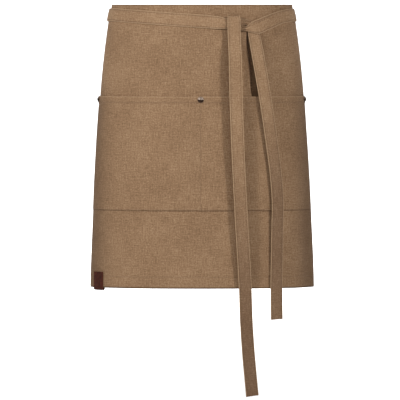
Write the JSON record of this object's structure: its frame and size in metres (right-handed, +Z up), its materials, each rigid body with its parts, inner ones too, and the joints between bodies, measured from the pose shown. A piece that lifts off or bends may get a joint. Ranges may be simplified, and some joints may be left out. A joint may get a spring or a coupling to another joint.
{
  "type": "waist apron",
  "caption": "Short canvas waist apron in its worn form, with a full-width patch pocket, riveted corners, a leather hem tag and long waist ties knotted in front.",
  "frame": {"origin": "centre of the waist opening, in the plane of the apron's top edge", "axes": "+Z up along the wearer, -Y towards the front of the apron, +X to the right as the front is looked at"},
  "size_m": [0.4057, 0.2499, 0.6951],
  "materials": {
    "panel_canvas": "matt woven canvas, warm brown",
    "pocket_canvas": "matt woven canvas, warm brown",
    "tie_canvas": "matt woven canvas band, edge-stitched",
    "rivet_metal": "dark nickel, slightly worn",
    "tag_leather": "smooth dark brown leather, bare"
  },
  "bodies": {
    "root": {"apron_panel": "panel_canvas", "pocket": "pocket_canvas", "rivet_left": "rivet_metal", "rivet_center": "rivet_metal", "rivet_right": "rivet_metal", "tie_long": "tie_canvas", "tie_short": "tie_canvas", "leather_tag": "tag_leather"}
  },
  "joints": []
}
